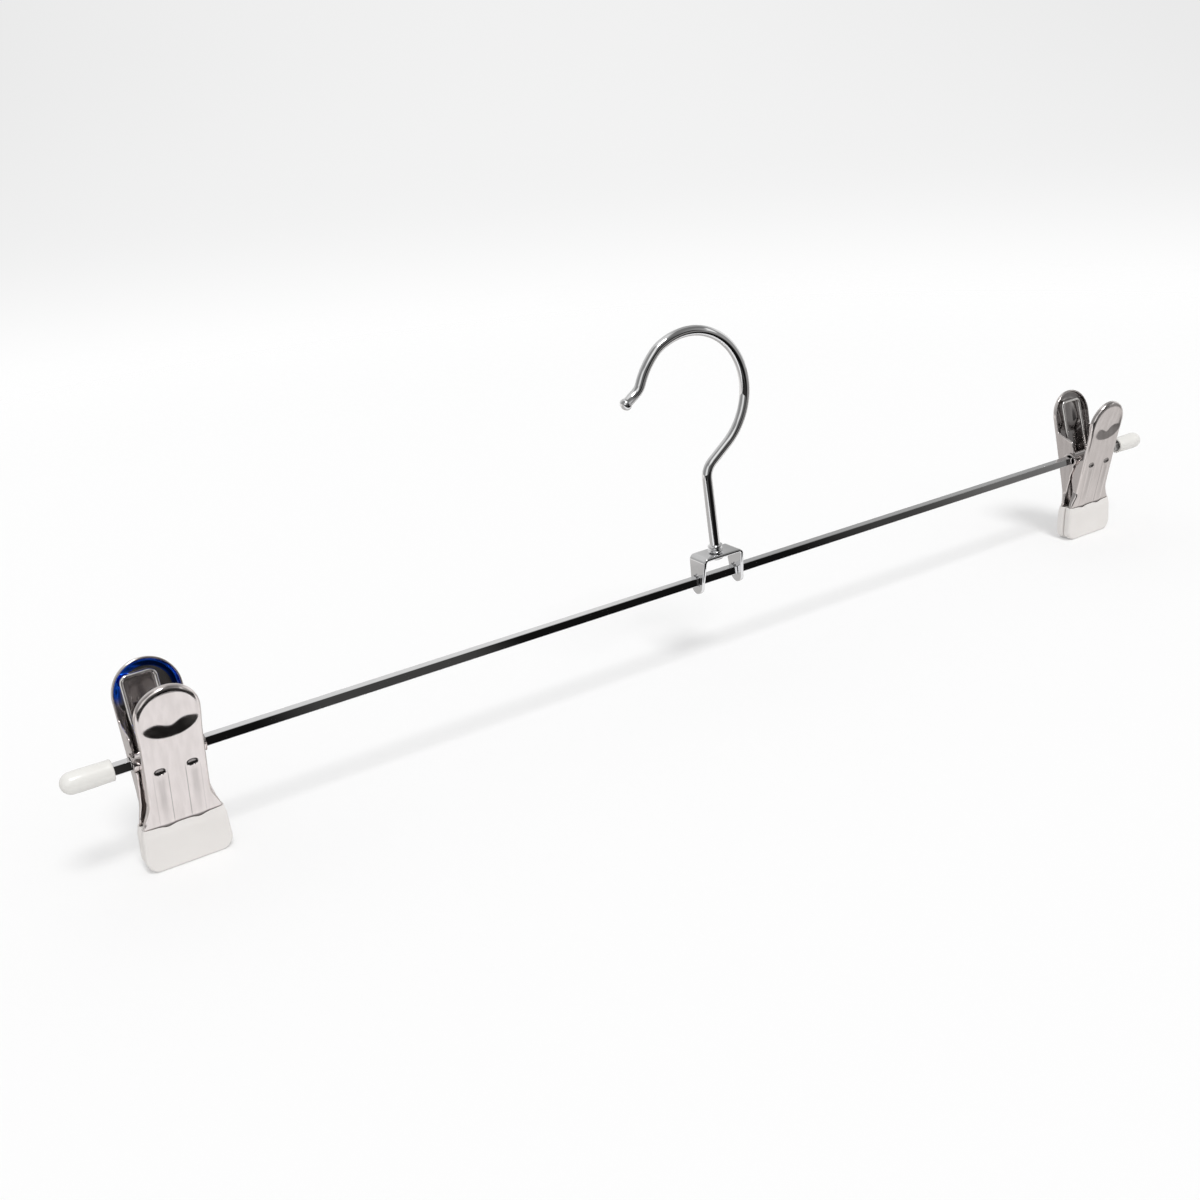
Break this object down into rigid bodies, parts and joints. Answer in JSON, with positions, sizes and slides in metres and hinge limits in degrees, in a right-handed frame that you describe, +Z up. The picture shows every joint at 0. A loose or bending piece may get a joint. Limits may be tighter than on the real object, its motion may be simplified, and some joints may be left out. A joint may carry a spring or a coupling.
{
  "type": "clip hanger",
  "caption": "Metal clip hanger: a square chromed bar with a swivelling wire hook on a bent saddle, sliding sprung clips of pressed steel with soft-dipped tips, and capped bar ends.",
  "frame": {"origin": "on the floor under the middle of the bar, in the plane where the clip tips meet", "axes": "+X along the bar away from the hook's open side, +Y to the back, +Z up"},
  "size_m": [0.4482, 0.0233, 0.1213],
  "materials": {
    "chrome": "polished",
    "pressed_steel": "bright nickel plate",
    "spring_steel": "bright",
    "sleeve_vinyl": "satin",
    "cap_vinyl": "glossy"
  },
  "bodies": {
    "frame": {"cross_bar": "chrome", "left_end_cap": "cap_vinyl", "right_end_cap": "cap_vinyl", "saddle": "chrome"},
    "hook": {"hook": "chrome"},
    "left_carrier": {"left_pivot_tube": "pressed_steel", "left_bow_spring": "spring_steel"},
    "left_front_jaw": {"left_front_jaw": "pressed_steel", "left_front_sleeve": "sleeve_vinyl"},
    "left_rear_jaw": {"left_rear_jaw": "pressed_steel", "left_rear_sleeve": "sleeve_vinyl"},
    "right_carrier": {"right_pivot_tube": "pressed_steel", "right_bow_spring": "spring_steel"},
    "right_front_jaw": {"right_front_jaw": "pressed_steel", "right_front_sleeve": "sleeve_vinyl"},
    "right_rear_jaw": {"right_rear_jaw": "pressed_steel", "right_rear_sleeve": "sleeve_vinyl"}
  },
  "joints": [
    {"name": "hook_swivel", "type": "hinge", "parent": "frame", "child": "hook", "pos_m": [-0.0006, 0, 0.0423], "axis": [-0.0819, 0, 0.9966], "continuous": true},
    {"name": "left_clip_slide", "type": "slide", "parent": "frame", "child": "left_carrier", "axis": [1, 0, 0], "range_m": [-0.0046, 0.1738]},
    {"name": "left_front_squeeze", "type": "hinge", "parent": "left_carrier", "child": "left_front_jaw", "pos_m": [-0.19442, 0, 0.0338], "axis": [-1, 0, 0], "range_deg": [0, 18], "stiffness_Nm_per_rad": 0.12, "springref_deg": -45.84, "deforming": ["left_bow_spring"]},
    {"name": "left_rear_squeeze", "type": "hinge", "parent": "left_carrier", "child": "left_rear_jaw", "pos_m": [-0.19442, 0, 0.0338], "axis": [1, 0, 0], "range_deg": [0, 18], "stiffness_Nm_per_rad": 0.12, "springref_deg": -45.84, "deforming": ["left_bow_spring"]},
    {"name": "right_clip_slide", "type": "slide", "parent": "frame", "child": "right_carrier", "axis": [1, 0, 0], "range_m": [-0.172, 0.0071]},
    {"name": "right_front_squeeze", "type": "hinge", "parent": "right_carrier", "child": "right_front_jaw", "pos_m": [0.19187, 0, 0.0338], "axis": [-1, 0, 0], "range_deg": [0, 18], "stiffness_Nm_per_rad": 0.12, "springref_deg": -45.84, "deforming": ["right_bow_spring"]},
    {"name": "right_rear_squeeze", "type": "hinge", "parent": "right_carrier", "child": "right_rear_jaw", "pos_m": [0.19187, 0, 0.0338], "axis": [1, 0, 0], "range_deg": [0, 18], "stiffness_Nm_per_rad": 0.12, "springref_deg": -45.84, "deforming": ["right_bow_spring"]}
  ],
  "couplings": [
    {"joint": "left_rear_squeeze", "follows": "left_front_squeeze", "ratio": 1},
    {"joint": "right_rear_squeeze", "follows": "right_front_squeeze", "ratio": 1}
  ]
}
